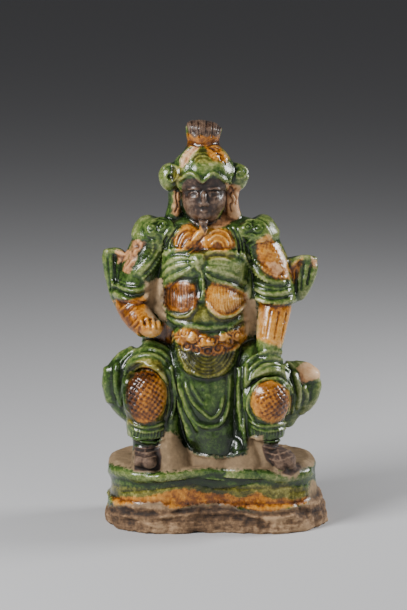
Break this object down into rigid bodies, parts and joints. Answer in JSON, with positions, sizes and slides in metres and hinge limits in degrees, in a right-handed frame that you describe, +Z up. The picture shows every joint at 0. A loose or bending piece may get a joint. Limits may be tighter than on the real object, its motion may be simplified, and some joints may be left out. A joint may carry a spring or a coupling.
{
  "type": "glazed terracotta figure",
  "caption": "Seated armoured guardian in glazed terracotta, pressed in one piece with its kidney-shaped plinth; stands as a roof or shrine ornament.",
  "frame": {"origin": "middle of the plinth's flat underside", "axes": "+Z up, the figure faces -Y, +X to the viewer's right"},
  "size_m": [0.1586, 0.0899, 0.281],
  "materials": {
    "glaze": "glossy"
  },
  "bodies": {
    "root": {"guardian_figure": "glaze"}
  },
  "joints": []
}
